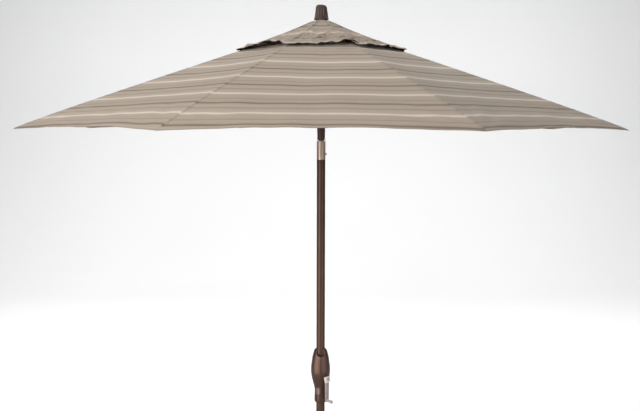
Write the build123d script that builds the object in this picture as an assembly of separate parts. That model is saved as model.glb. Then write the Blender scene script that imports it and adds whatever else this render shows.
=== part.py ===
from build123d import *
import os
from math import sin, cos, tan, atan, atan2, radians, degrees, sqrt

# Crank-lift, push-button-tilt market (patio) umbrella, open.  Millimetres, +Z up,
# origin on the pole axis at the foot of the pole.  Front is -Y, +X is to the right.

# ---------------------------------------------------------------- driving sizes
R_CANOPY = 1290.0      # corner radius of the octagonal canopy (9 ft class)
Z_HEM = 1974.0         # height of the canopy corners
Z_APEX = 2448.0        # where the rib lines of the fabric meet the pole axis
N_RIBS = 8
R_POLE = 19.05         # 38.1 mm (1.5 in) pole
POLE_WALL = 1.4
Z_COLLAR = 743.0       # bottom of the crank housing's collar, where the full-size lower pole ends
Z_LOWER_TOP = 772.0    # top of the lower pole's swaged end, inside the collar
R_SWAGE = 18.75
R_JOINER = 17.55
Z_CRANK = 856.0        # crank axis
CRANK_AZ = -52.0       # direction that the crank shaft points, degrees from +X
Z_TILT = 1945.0        # tilt hinge
SLEEVE_LOW, SLEEVE_TOP, R_SLEEVE = 1836.0, 1920.0, 19.9
Z_BUTTON = 1861.0
R_PIVOT = 38.0         # radius of the rib and strut pivot circles
FABRIC_OVER_RIB = 12.5
RIB_W, RIB_H, RIB_WALL = 14.0, 20.0, 1.3
S_TUBE0, S_TUBE1, S_TIP = 20.0, 1226.0, 1313.0
S_J, DROP_J = 540.0, 18.0
STRUT_W, STRUT_H, STRUT_WALL = 12.0, 14.0, 1.2
PIN_R, HOLE_R = 2.5, 2.56
SLOT_W, TONGUE_W = 12.2, 12.0
FABRIC_T = 0.8
R_VENT_EDGE = 400.0
SNAP_Z = 757.5
PULLEY_Z, PULLEY_Y, PULLEY_R = 2414.0, 12.5, 9.5
CORD_R = 1.5
# canopy fold hinge of one half panel, as offsets from the rib seam (sideways, up)
FOLD_NEAR, FOLD_FAR = (11.86006968, 9.56349108), (-2.55237892, -2.06232243)

os.makedirs("parts", exist_ok=True)
SLOPE = atan((Z_APEX - Z_HEM) / R_CANOPY)
A_DEG = degrees(SLOPE)
Z_HUB = Z_APEX - R_PIVOT * tan(SLOPE) - FABRIC_OVER_RIB / cos(SLOPE)
E = Vector(cos(SLOPE), 0, -sin(SLOPE))
U = Vector(sin(SLOPE), 0, cos(SLOPE))
H = Vector(R_PIVOT, 0, Z_HUB)
J = H + E * S_J - U * DROP_J
ARM = (J - H).length
Z_RUN = Z_HUB - 2 * (Z_HUB - J.Z)          # strut pivots on the runner
Q = Vector(R_PIVOT, 0, Z_RUN)
B_DEG = degrees(atan2(J.Z - Z_RUN, J.X - R_PIVOT))
PHI = [22.5 + 45 * k for k in range(N_RIBS)]
print("rib pivot z", Z_HUB, "J", J, "strut", ARM, (J - Q).length, "runner z", Z_RUN)


def cyl(r, z0, z1, x=0, y=0):
    return Pos(x, y, (z0 + z1) / 2) * Cylinder(r, z1 - z0)


def tube(ro, ri, z0, z1):
    return cyl(ro, z0, z1) - cyl(ri, z0 - 1, z1 + 1)


def box(x0, x1, y0, y1, z0, z1):
    return Pos((x0 + x1) / 2, (y0 + y1) / 2, (z0 + z1) / 2) * Box(x1 - x0, y1 - y0, z1 - z0)


def ycyl(r, y0, y1, x=0, z=0):
    return Pos(x, (y0 + y1) / 2, z) * Rot(90, 0, 0) * Cylinder(r, y1 - y0)


def xcyl(r, x0, x1, y=0, z=0):
    return Pos((x0 + x1) / 2, y, z) * Rot(0, 90, 0) * Cylinder(r, x1 - x0)


def rod(p, q, r):
    """round bar from point p to point q"""
    p, q = Vector(*p), Vector(*q)
    return Solid.make_cylinder(r, (q - p).length, Plane(origin=p, z_dir=(q - p).normalized()))


def turned(points):
    """solid of revolution about the pole axis from (r, z) points"""
    return revolve(make_face(Polyline(*[(r, 0, z) for r, z in points], close=True)), Axis.Z)


def out(name, *things):
    solids = []
    for t in things:
        solids += list(t.solids())
    shape = solids[0] if len(solids) == 1 else Compound(children=[s for s in solids])
    shape.label = name
    export_step(shape, f"parts/{name}.step")


# ---------------------------------------------------------------- lower pole
snap_hole = ycyl(4.05, 10, 40, 0, SNAP_Z)
out("lower_pole", tube(R_POLE, R_POLE - POLE_WALL, 0, Z_COLLAR) + tube(R_SWAGE, R_POLE - POLE_WALL, Z_COLLAR, Z_LOWER_TOP) - snap_hole)
plug = cyl(R_POLE - POLE_WALL, 0, 26) - cyl(13.5, 4, 27)
for k in range(3):
    plug = plug - (Rot(0, 0, 60 * k) * box(-30, 30, -1.2, 1.2, 12, 27))
out("foot_plug", plug)
# joiner tube between the two poles, gripped by the housing's neck
out("pole_joiner", tube(R_JOINER, R_JOINER - 1.5, 630, 812) - snap_hole)
# spring button that locks the lower pole in the housing's collar, pressed from behind
snap_body = Rot(-90, 0, 0) * turned([(0, 8.5), (6, 8.5), (6, 11), (4, 11), (4, 29.6), (3.4, 31.2), (2.0, 32.2), (0, 32.4)])
out("snap_button", Pos(0, 0, SNAP_Z) * snap_body)
sz0 = SNAP_Z - 40.0
out("snap_spring", box(-5, 5, 8.0, 8.5, sz0, SNAP_Z + 8) + box(-5, 5, -15.0, -14.5, sz0, SNAP_Z + 8)
    + box(-5, 5, -15.0, 8.5, sz0, sz0 + 0.6))

# ---------------------------------------------------------------- crank housing
# radius of the cast housing against height
HOUSING = [(21.5, 743), (26.0, 747.5), (27.2, 752), (27.2, 764), (26.6, 772), (25.8, 786), (26.2, 800),
           (29.5, 819), (35.2, 842), (39.6, 862), (41.6, 882), (41.3, 900), (39.2, 920), (35.4, 946),
           (30.6, 964), (27.6, 974), (22.8, 981)]
spl = Spline(*[(r, 0, z) for r, z in HOUSING[6:]])
lowp = Polyline(*[(r, 0, z) for r, z in HOUSING[:7]])
outer_face = make_face([lowp, spl, Line((HOUSING[-1][0], 0, 981), (0, 0, 981)), Line((0, 0, 981), (0, 0, 743)),
                        Line((0, 0, 743), (HOUSING[0][0], 0, 743))])
body = revolve(outer_face, Axis.Z)
cav_pts = [(r - 3.4, z) for r, z in HOUSING if 815 <= z <= 940]
cavity = turned([(0, 812)] + [(25.0, 812)] + cav_pts + [(30.0, 944), (0, 944)])
body = body - cavity - cyl(R_POLE, 900, 990) - cyl(R_JOINER, 700, 850) - cyl(R_SWAGE, 740, Z_LOWER_TOP)
AX = Pos(0, 0, Z_CRANK) * Rot(0, 0, CRANK_AZ)          # local +X runs out along the crank shaft
boss_out = AX * xcyl(13.0, 30, 42.5)
boss_in = AX * xcyl(9.0, 13, 40)
boss_back = AX * xcyl(9.0, -40, -13)
shell_limit = revolve(outer_face, Axis.Z)
front = (body & box(-60, 60, -60, 0, 700, 1000)) + boss_out + boss_in
front = front - (AX * xcyl(5.08, 10, 60))
back_boss = (boss_back & shell_limit) - (AX * xcyl(5.08, -35, -12))
rear = (body & box(-60, 60, 0, 60, 700, 1000)) + back_boss - snap_hole
# four screws from the rear, in bosses of the two shells
scr = [(-27.5, 893), (27.5, 893), (-22.6, 783), (22.6, 783)]
screws = []
for x, z in scr:
    up = z > 850
    y_head = 19.0 if up else 8.5
    if up:
        front = front + (ycyl(5.0, -32, 0, x, z) & shell_limit)
        rear = rear + (ycyl(5.0, 0, 26, x, z) & shell_limit)
    screw = ycyl(1.4, -10 if up else -7, y_head, x, z) + ycyl(2.6, y_head, y_head + 3, x, z)
    screws.append(screw)
    front = front - ycyl(1.4, -10 if up else -7, 1, x, z)
    rear = rear - ycyl(1.4, -1, y_head + 1, x, z) - ycyl(2.6, y_head, 60, x, z)
front = front - (AX * xcyl(5.08, 10, 60))
out("housing_front", front)
out("housing_rear", rear)
out("housing_screws", *screws)

# ---------------------------------------------------------------- crank
spool = (AX * xcyl(5.0, -32, 54)) + (AX * xcyl(9.0, -10, 10)) + (AX * xcyl(21.0, -12.2, -10)) + (AX * xcyl(21.0, 10, 12.2))
wound = (AX * xcyl(12.0, -9.6, 9.6)) - (AX * xcyl(9.0, -9.6, 9.6))
spool = spool - (AX * xcyl(1.6, 40, 55))
out("crank_spool", spool, wound)
ARM_LEN = 94.0
shield = make_face(Polyline((0, -15.7, 8.0), (0, -13.5, 10.5), (0, 13.5, 10.5), (0, 15.7, 8.0), (0, 10.8, -15.0), (0, 9.4, -17.0),
                            (0, -9.4, -17.0), (0, -10.8, -15.0), close=True))
hub = AX * (Pos(43.3, 0, 0) * extrude(shield, amount=9.2, dir=(1, 0, 0)))
hub = hub - (AX * xcyl(5.0, 40, 54))
lever = make_face(Polyline((0, -10.2, -16.0), (0, 10.2, -16.0), (0, 9.0, -ARM_LEN), (0, -9.0, -ARM_LEN), close=True))
arm_plate = AX * (Pos(44.0, 0, 0) * extrude(lever, amount=6.0, dir=(1, 0, 0)) + xcyl(9.0, 44.0, 50.0, 0, -ARM_LEN))
knob_pin = AX * (xcyl(3.0, 44.0, 83.0, 0, -ARM_LEN) + xcyl(5.0, 82.0, 84.0, 0, -ARM_LEN))
crank_bolt = AX * (xcyl(1.6, 42, 54) + xcyl(6.0, 54.0, 57.0))
out("crank_arm", hub + arm_plate + knob_pin, crank_bolt)
knob = AX * (xcyl(6.8, 51.0, 81.8, 0, -ARM_LEN) - xcyl(3.05, 50, 83, 0, -ARM_LEN))
out("crank_knob", knob)

# ---------------------------------------------------------------- main pole and tilt joint
button_hole = xcyl(5.1, 10, 25, 0, Z_BUTTON)
out("main_pole", tube(R_POLE, R_POLE - POLE_WALL, 920, SLEEVE_TOP) - button_hole)
out("tilt_sleeve", tube(R_SLEEVE, R_POLE, SLEEVE_LOW, SLEEVE_TOP) - button_hole)
tongue = cyl(R_POLE - POLE_WALL, 1842, 1920) + box(-12, 12, -6, 6, 1919, Z_TILT) + ycyl(15, -6, 6, 0, Z_TILT)
tongue = tongue - ycyl(4.0, -7, 7, 0, Z_TILT) - cyl(2.6, 1800, 1990, -7.6, -0.3) - xcyl(5.1, 1.0, 25, 0, Z_BUTTON)
out("tilt_tongue", tongue)
out("tilt_pin", ycyl(4.0, -16.5, 16.5, 0, Z_TILT))
out("tilt_button", xcyl(5.0, 12.0, 25.6, 0, Z_BUTTON))
out("button_spring", (xcyl(4.2, 1.0, 12.0, 0, Z_BUTTON) - xcyl(3.2, 0, 13, 0, Z_BUTTON)))
head = cyl(18.4, 1918, 1985) & (box(-30, 30, -30, 30, Z_TILT, 1990) + ycyl(24.0, -30, 30, 0, Z_TILT))
head = head - box(-40, 40, -6.1, 6.1, 1900, Z_TILT + 15.6)
head = head + cyl(R_POLE - POLE_WALL, 1985, 2022) - ycyl(4.06, -16.6, 16.6, 0, Z_TILT) - cyl(2.8, 1950, 2030, -7.0, 0.3)
out("tilt_head", head)
out("upper_pole", tube(R_POLE, R_POLE - POLE_WALL, 1985, 2402))

# ---------------------------------------------------------------- top hub
Z_HUB0, Z_HUB1 = 2406.0, 2428.0
hubb = cyl(50, Z_HUB0, Z_HUB1) + cyl(26, 2380, Z_HUB0) + cyl(17.0, Z_HUB1, 2438) - cyl(R_POLE, 2370, 2402)
for a in PHI:
    hubb = hubb - (Rot(0, 0, a) * box(28.8, 70, -SLOT_W / 2, SLOT_W / 2, 2380, 2440))
pins = []
for a in PHI:
    p = Rot(0, 0, a) * ycyl(PIN_R, -11, 11, R_PIVOT, Z_HUB)
    hubb = hubb - p
    pins.append(p)
hubb = hubb - box(-3.6, 3.6, PULLEY_Y - 12.6, PULLEY_Y + 12.4, 2400, PULLEY_Z + 12.4)     # pulley window
axle = xcyl(2.0, -9.5, 9.5, PULLEY_Y, PULLEY_Z)
hubb = hubb - axle - box(-2.3, 2.3, 20.0, 30, 2370, 2410) - cyl(4.0, 2430, 2440)
out("top_hub", hubb)
out("hub_pins", *pins, axle)
pul = xcyl(11.0, -3.2, 3.2, PULLEY_Y, PULLEY_Z) - xcyl(2.06, -4, 4, PULLEY_Y, PULLEY_Z)
groove = xcyl(12.0, -1.8, 1.8, PULLEY_Y, PULLEY_Z) - xcyl(7.8, -1.8, 1.8, PULLEY_Y, PULLEY_Z)
out("cord_pulley", pul - groove)

# ---------------------------------------------------------------- runner
zr = Z_RUN
run = cyl(48, zr - 12, zr + 10) + cyl(27.5, zr - 36, zr - 12) + cyl(30, zr + 10, zr + 16) - cyl(21.6, zr - 60, zr + 30)
for a in PHI:
    run = run - (Rot(0, 0, a) * box(30.2, 70, -SLOT_W / 2, SLOT_W / 2, zr - 40, zr + 40))
rpins = []
for a in PHI:
    p = Rot(0, 0, a) * ycyl(PIN_R, -11, 11, R_PIVOT, zr)
    run = run - p
    rpins.append(p)
run = run - box(10, 26.6, -5.8, 5.8, zr - 60, zr + 30)            # keyway that clears the tilt button
out("runner", run)
out("runner_pins", *rpins)

# ---------------------------------------------------------------- lift cord
ca = radians(CRANK_AZ)
tx, ty = 13.6 * sin(ca), -13.6 * cos(ca)
tx, ty = (tx, ty) if tx < 0 else (-tx, -ty)
out("lift_cord_lower", rod((tx, ty, Z_CRANK), (-7.5, 0, Z_TILT), CORD_R))
inner = rod((-7.5, 0, Z_TILT + 0.1), (0, PULLEY_Y - PULLEY_R, PULLEY_Z), CORD_R)
outer = rod((0, PULLEY_Y + PULLEY_R, PULLEY_Z), (0, 26.0, zr + 16.1), CORD_R)
wrap = (xcyl(PULLEY_R + CORD_R, -1.5, 1.5, PULLEY_Y, PULLEY_Z) - xcyl(PULLEY_R - CORD_R, -2, 2, PULLEY_Y, PULLEY_Z)) \
    & box(-5, 5, -20, 40, PULLEY_Z, PULLEY_Z + 30)
out("lift_cord_upper", inner, outer, wrap)

# ---------------------------------------------------------------- finial and crown patch
fin = turned([(0, 2467), (32.0, 2467), (33.2, 2469), (33.0, 2473.5), (30.6, 2482.5), (28.6, 2494.5), (27.0, 2507.5),
              (25.9, 2517.5), (0, 2517.5)])
crest = turned([(0, 2510.5), (25.3, 2510.5), (26.1, 2516.5), (25.6, 2521.5), (23.2, 2527), (18.8, 2531.5), (12.0, 2534.5), (0, 2535.9)])
fin = fin + Pos(0, 0, 2510.5) * Rot(0, 5.0, 0) * Pos(0, 0, -2510.5) * crest
for k in range(12):
    fin = fin - (Rot(0, 0, 30 * k + 15) * Pos(30.4, 0, 2476.5) * Rot(0, -8, 0) * Cylinder(3.4, 70, align=(Align.CENTER, Align.CENTER, Align.MIN)))
stud = cyl(4.0, 2431, 2468.5)
out("finial", fin + stud)
crown = turned([(4.0, 2463.5), (14.0, 2463.5), (57, 2446.6), (57, 2448.0), (20.0, 2463.5), (19.0, 2467.0), (4.0, 2467.0)])
out("crown_cap", crown)

# ---------------------------------------------------------------- ribs and struts
tube_r = box(S_TUBE0, S_TUBE1, -RIB_W / 2, RIB_W / 2, -RIB_H / 2, RIB_H / 2) \
    - box(S_TUBE0 - 1, S_TUBE1 + 1, -RIB_W / 2 + RIB_WALL, RIB_W / 2 - RIB_WALL, -RIB_H / 2 + RIB_WALL, RIB_H / 2 - RIB_WALL)
wi, hi = RIB_W / 2 - RIB_WALL, RIB_H / 2 - RIB_WALL
fit_h = ycyl(8, -TONGUE_W / 2, TONGUE_W / 2) + box(0, S_TUBE0, -TONGUE_W / 2, TONGUE_W / 2, -8, 8) + box(S_TUBE0, 55, -wi, wi, -hi, hi)
fit_h = fit_h - ycyl(HOLE_R, -10, 10)
blade = Polyline((S_TUBE1, 0, -RIB_H / 2), (S_TUBE1 + 8, 0, -RIB_H / 2), (S_TUBE1 + 62, 0, 2.6), (S_TIP - 10, 0, 5.6), (S_TIP - 1.2, 0, 7.2), (S_TIP, 0, 8.4),
                 (S_TIP - 0.8, 0, 9.5), (S_TIP - 3, 0, RIB_H / 2), (S_TUBE1, 0, RIB_H / 2), close=True)
blade = extrude(make_face(blade), amount=RIB_W / 2, dir=(0, 1, 0), both=True)
tip = blade + box(S_TUBE1 - 30, S_TUBE1, -wi, wi, -hi, hi)          # tapered end that goes into the canopy's pocket
ears = []
for s in (-1, 1):
    y0, y1 = (7.0, 8.8) if s > 0 else (-8.8, -7.0)
    e = box(S_J - 11, S_J + 11, y0, y1, -18, 4) + ycyl(7.0, y0, y1, S_J, -DROP_J)
    e = e + box(S_J - 7, S_J + 7, y0, y1, -DROP_J, -16)
    ears.append(e - ycyl(PIN_R, -10, 10, S_J, -DROP_J))
rivet = ycyl(PIN_R, -9.8, 9.8, S_J, -DROP_J) + ycyl(4.2, 8.8, 10.4, S_J, -DROP_J) + ycyl(4.2, -10.4, -8.8, S_J, -DROP_J)
rib_parts = [tube_r, fit_h, tip] + ears + [rivet]
rib_at = Pos(*H) * Rot(0, A_DEG, 0)
sl = ARM
stube = box(15, sl - 15, -STRUT_W / 2, STRUT_W / 2, -STRUT_H / 2, STRUT_H / 2) \
    - box(14, sl - 14, -STRUT_W / 2 + STRUT_WALL, STRUT_W / 2 - STRUT_WALL, -STRUT_H / 2 + STRUT_WALL, STRUT_H / 2 - STRUT_WALL)
swi, shi = STRUT_W / 2 - STRUT_WALL, STRUT_H / 2 - STRUT_WALL
f_top = ycyl(7.0, -6.9, 6.9) + box(0, 15, -6.0, 6.0, -6.5, 6.5) + box(15, 45, -swi, swi, -shi, shi) - ycyl(HOLE_R, -10, 10)
f_bot = ycyl(7.0, -TONGUE_W / 2, TONGUE_W / 2, sl) + box(sl - 15, sl, -TONGUE_W / 2, TONGUE_W / 2, -6.5, 6.5) \
    + box(sl - 45, sl - 15, -swi, swi, -shi, shi) - ycyl(HOLE_R, -10, 10, sl)
strut_at = Pos(*J) * Rot(0, 180 - B_DEG, 0)
for k, a in enumerate(PHI, 1):
    out(f"rib_{k}", *[Rot(0, 0, a) * rib_at * p for p in rib_parts])
    out(f"strut_{k}", *[Rot(0, 0, a) * strut_at * p for p in (stube, f_top, f_bot)])

# ---------------------------------------------------------------- canopy half panels
# Each panel of the canopy folds along its middle.  A half panel hangs on its rib's seam.
C, S = cos(radians(22.5)), sin(radians(22.5))
P0 = Vector(0, 0, Z_APEX)
T = Vector(R_CANOPY, 0, Z_HEM)
M = Vector(R_CANOPY * C * C, R_CANOPY * C * S, Z_HEM)


def plate(pts, t):
    """flat plate of thickness t centred on the plane of four points (rib side first, then mid side)"""
    a, b, c, d = pts
    n = (b - a).cross(d - a).normalized()
    if n.Z < 0:
        n = n * -1
    c = c - n * (c - a).dot(n)
    pp = [p - n * (t / 2) for p in (a, b, c, d)]
    return Solid.extrude(Face(Wire.make_polygon([tuple(p) for p in pp], close=True)), n * t)


def half(side):
    """half panel at azimuth 0, side +1 or -1: main fabric with the vent opening, and the vent cap above it"""
    ns = ((M - P0) - E * (M - P0).dot(E)).normalized()
    fin_in = 0.2
    e_mid = (M - P0).normalized()
    nm = (T - P0) - e_mid * (T - P0).dot(e_mid)
    nm = nm.normalized()
    gap = 0.6
    q = [P0 + (T - P0) * fin_in + ns * gap, P0 + (T - P0) * 1.0 + ns * gap - E * 1.0,
         M + nm * gap - e_mid * 1.0, P0 + (M - P0) * fin_in + nm * gap]
    main = plate(q, FABRIC_T)
    za, zb, ra, rb = 2446.0, 2315.5, 64.0, R_VENT_EDGE
    ca_, cb_ = Vector(ra, 0.8, za), Vector(rb, 0.8, zb)
    da_, db_ = Vector(ra * C * C + 0.4 * S, ra * C * S - 0.8, za), Vector(rb * C * C + 0.4 * S, rb * C * S - 0.8, zb)
    cap = plate([ca_, cb_, db_, da_], FABRIC_T)
    if side < 0:
        main, cap = mirror(main, Plane.XZ), mirror(cap, Plane.XZ)
    return main, cap


for side, tag in ((1, "left"), (-1, "right")):
    m, c = half(side)
    for k, a in enumerate(PHI, 1):
        out(f"canopy_{k}_{tag}", Rot(0, 0, a) * m, Rot(0, 0, a) * c)

n1 = Vector(0, FOLD_NEAR[0], 0) + U * FOLD_NEAR[1] + P0 + E * 200
n2 = Vector(0, FOLD_FAR[0], 0) + U * FOLD_FAR[1] + P0 + E * 1300
print("fold axis point", n1, "direction", (n2 - n1).normalized())
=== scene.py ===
import bpy
import bmesh
import math
import numpy as np
from mathutils import Vector, Matrix


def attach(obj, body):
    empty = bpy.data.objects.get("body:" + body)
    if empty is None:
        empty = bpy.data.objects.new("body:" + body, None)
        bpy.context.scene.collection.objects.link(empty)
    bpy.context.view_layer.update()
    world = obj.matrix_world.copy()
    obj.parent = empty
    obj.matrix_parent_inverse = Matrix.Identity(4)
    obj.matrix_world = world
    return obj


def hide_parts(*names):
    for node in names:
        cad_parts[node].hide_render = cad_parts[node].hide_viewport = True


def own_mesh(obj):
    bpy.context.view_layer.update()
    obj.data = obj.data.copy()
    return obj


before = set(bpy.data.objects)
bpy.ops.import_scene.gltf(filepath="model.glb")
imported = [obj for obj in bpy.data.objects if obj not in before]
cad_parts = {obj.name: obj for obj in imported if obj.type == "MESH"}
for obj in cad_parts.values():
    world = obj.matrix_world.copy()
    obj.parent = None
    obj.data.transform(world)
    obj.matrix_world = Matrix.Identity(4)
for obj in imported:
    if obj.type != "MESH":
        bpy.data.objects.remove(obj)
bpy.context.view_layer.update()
rng = np.random.default_rng(7)

# ------------------------------------------------------------------ sizes (m)
R = 1.2955
Z_HEM, Z_APEX = 1.974, 2.448
RISE = Z_APEX - Z_HEM
R_POLE = 0.01905
Z_TILT = 1.945
Z_CRANK = 0.856
CRANK_AZ = math.radians(-52.0)
N = 8
C8, S8 = math.cos(math.pi / 8), math.sin(math.pi / 8)
PERIOD = 0.1935            # repeat of the stripes, along the middle of a panel
V_CREAM = 0.0101            # where a cream stripe's middle falls, from the apex


# ------------------------------------------------------------------ camera
def make_camera():
    cam = bpy.data.cameras.new("camera")
    ob = bpy.data.objects.new("camera", cam)
    bpy.context.collection.objects.link(ob)
    cam.sensor_width = 36.0
    cam.lens = 44.15
    cam.shift_y = -0.1250
    cam.shift_x = -0.0018
    cam.clip_end = 100
    ob.location = (0.0, -3.548, 1.990)
    ob.rotation_euler = (math.radians(90), math.radians(-0.15), 0)
    bpy.context.scene.camera = ob
    return ob


CAM = make_camera()


# ------------------------------------------------------------------ node helpers
def new_mat(name):
    m = bpy.data.materials.new(name)
    m.use_nodes = True
    nt = m.node_tree
    nt.nodes.clear()
    o = nt.nodes.new("ShaderNodeOutputMaterial")
    b = nt.nodes.new("ShaderNodeBsdfPrincipled")
    nt.links.new(b.outputs["BSDF"], o.inputs["Surface"])
    return m, nt, b


def math_node(nt, op, a, b=None, clamp=False):
    n = nt.nodes.new("ShaderNodeMath")
    n.operation = op
    n.use_clamp = clamp
    for i, v in enumerate((a, b)):
        if v is None:
            continue
        if isinstance(v, (int, float)):
            n.inputs[i].default_value = v
        else:
            nt.links.new(v, n.inputs[i])
    return n.outputs[0]


def mix_col(nt, fac, a, b, blend="MIX"):
    n = nt.nodes.new("ShaderNodeMix")
    n.data_type = "RGBA"
    n.blend_type = blend
    for i, v in ((0, fac), (6, a), (7, b)):
        if isinstance(v, (int, float)):
            n.inputs[i].default_value = v
        elif isinstance(v, (tuple, list)):
            n.inputs[i].default_value = (*v[:3], 1)
        else:
            nt.links.new(v, n.inputs[i])
    return n.outputs[2]


def ramp(nt, fac, stops, interp="LINEAR"):
    n = nt.nodes.new("ShaderNodeValToRGB")
    n.color_ramp.interpolation = interp
    el = n.color_ramp.elements
    while len(el) > 1:
        el.remove(el[-1])
    el[0].position = stops[0][0]
    el[0].color = (*stops[0][1], 1)
    for p, c in stops[1:]:
        e = el.new(p)
        e.color = (*c, 1)
    nt.links.new(fac, n.inputs[0])
    return n.outputs[0]


def noise_tex(nt, vec, scale, detail=3.0, rough=0.5, dist=0.0):
    n = nt.nodes.new("ShaderNodeTexNoise")
    n.inputs["Scale"].default_value = scale
    n.inputs["Detail"].default_value = detail
    n.inputs["Roughness"].default_value = rough
    n.inputs["Distortion"].default_value = dist
    if vec is not None:
        nt.links.new(vec, n.inputs["Vector"])
    return n.outputs[0]


def mapping(nt, vec, scale=(1, 1, 1), rot=(0, 0, 0), loc=(0, 0, 0)):
    n = nt.nodes.new("ShaderNodeMapping")
    n.inputs["Scale"].default_value = scale
    n.inputs["Rotation"].default_value = rot
    n.inputs["Location"].default_value = loc
    nt.links.new(vec, n.inputs["Vector"])
    return n.outputs[0]


def objco(nt):
    return nt.nodes.new("ShaderNodeTexCoord").outputs["Object"]


def uvco(nt, name="cloth"):
    n = nt.nodes.new("ShaderNodeUVMap")
    n.uv_map = name
    return n.outputs[0]


def bump(nt, bsdf, height, strength=0.3, distance=0.001, also=None):
    n = nt.nodes.new("ShaderNodeBump")
    n.inputs["Strength"].default_value = strength
    n.inputs["Distance"].default_value = distance
    nt.links.new(height, n.inputs["Height"])
    if also is not None:
        nt.links.new(also, n.inputs["Normal"])
    nt.links.new(n.outputs[0], bsdf.inputs["Normal"])
    return n.outputs[0]


def lin(r, g, b):
    """sRGB 0-255 to linear"""
    out = []
    for v in (r, g, b):
        v /= 255.0
        out.append(v / 12.92 if v <= 0.04045 else ((v + 0.055) / 1.055) ** 2.4)
    return tuple(out)


def scaled(c, k):
    return tuple(v * k for v in c)


# ------------------------------------------------------------------ materials
def painted(name, col, rough=0.38, metallic=0.0, coat=0.0, spec=0.5, edge=None, fleck=0.10, grain=220, wear=None, bumpd=0.00012, bumps=0.35):
    """powder-coated or painted metal: fine orange-peel, faint colour drift, rubbed edges by noise"""
    m, nt, b = new_mat(name)
    co = objco(nt)
    n1 = noise_tex(nt, co, 9, 4, 0.6)
    n2 = noise_tex(nt, co, grain, 2, 0.5)
    base = ramp(nt, n1, [(0.3, scaled(col, 1 - fleck)), (0.7, scaled(col, 1 + fleck))])
    fine = ramp(nt, n2, [(0.35, scaled(col, 0.9)), (0.65, scaled(col, 1.12))])
    c = mix_col(nt, 0.35, base, fine)
    if wear:
        n3 = noise_tex(nt, mapping(nt, co, (40, 40, 6)), 1.0, 5, 0.7)
        w = ramp(nt, n3, [(0.66, (0, 0, 0)), (0.74, (1, 1, 1))])
        c = mix_col(nt, math_node(nt, "MULTIPLY", w, 0.5), c, wear)
    nt.links.new(c, b.inputs["Base Color"])
    r = nt.nodes.new("ShaderNodeMapRange")
    r.inputs["To Min"].default_value = rough - 0.06
    r.inputs["To Max"].default_value = rough + 0.08
    nt.links.new(n1, r.inputs["Value"])
    nt.links.new(r.outputs[0], b.inputs["Roughness"])
    b.inputs["Metallic"].default_value = metallic
    b.inputs["Specular IOR Level"].default_value = spec
    if edge:
        b.inputs["Specular Tint"].default_value = (*edge, 1)
    if coat:
        b.inputs["Coat Weight"].default_value = coat
        b.inputs["Coat Roughness"].default_value = 0.12
    bump(nt, b, n2, bumps, bumpd)
    return m


def brushed(name, col, rough=0.3, metallic=1.0, axis="z"):
    m, nt, b = new_mat(name)
    co = objco(nt)
    sc = (900, 900, 14) if axis == "z" else (14, 14, 900)
    n1 = noise_tex(nt, mapping(nt, co, sc), 1.0, 3, 0.6)
    n2 = noise_tex(nt, co, 16, 3, 0.5)
    c = ramp(nt, n1, [(0.25, scaled(col, 0.84)), (0.75, scaled(col, 1.12))])
    c2 = mix_col(nt, math_node(nt, "MULTIPLY", n2, 0.25), c, scaled(col, 0.8))
    nt.links.new(c2, b.inputs["Base Color"])
    r = nt.nodes.new("ShaderNodeMapRange")
    r.inputs["To Min"].default_value = rough - 0.08
    r.inputs["To Max"].default_value = rough + 0.1
    nt.links.new(n1, r.inputs["Value"])
    nt.links.new(r.outputs[0], b.inputs["Roughness"])
    b.inputs["Metallic"].default_value = metallic
    bump(nt, b, n1, 0.2, 0.0001)
    return m


def moulded(name, col, rough=0.5, speck=0.06, tex=500):
    """moulded resin with a fine spark-eroded grain"""
    m, nt, b = new_mat(name)
    co = objco(nt)
    n1 = noise_tex(nt, co, 14, 4, 0.6)
    n2 = noise_tex(nt, co, tex, 2, 0.6)
    c = ramp(nt, n1, [(0.3, scaled(col, 1 - speck)), (0.7, scaled(col, 1 + speck))])
    nt.links.new(c, b.inputs["Base Color"])
    r = nt.nodes.new("ShaderNodeMapRange")
    r.inputs["To Min"].default_value = rough - 0.07
    r.inputs["To Max"].default_value = rough + 0.07
    nt.links.new(n2, r.inputs["Value"])
    nt.links.new(r.outputs[0], b.inputs["Roughness"])
    bump(nt, b, n2, 0.3, 0.00015)
    return m


# one repeat of the woven stripes from a cream stripe outwards (share of the repeat, colour)
STRIPES = [
    (0.000, lin(228, 215, 198)), (0.026, lin(226, 213, 196)), (0.046, lin(198, 184, 168)), (0.075, lin(184, 169, 153)), (0.11, lin(183, 168, 152)),
    (0.20, lin(180, 165, 149)), (0.245, lin(182, 168, 152)), (0.27, lin(166, 151, 135)), (0.30, lin(166, 151, 135)),
    (0.325, lin(182, 167, 150)), (0.415, lin(179, 164, 148)), (0.450, lin(174, 159, 143)), (0.478, lin(136, 120, 105)),
    (0.520, lin(136, 120, 105)), (0.548, lin(178, 163, 147)), (0.625, lin(185, 170, 153)), (0.70, lin(182, 167, 151)),
    (0.735, lin(165, 151, 135)), (0.765, lin(165, 151, 135)), (0.79, lin(182, 168, 151)), (0.885, lin(186, 172, 156)),
    (0.940, lin(190, 176, 160)), (0.958, lin(200, 187, 171)), (0.976, lin(226, 213, 196)),
]


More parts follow.
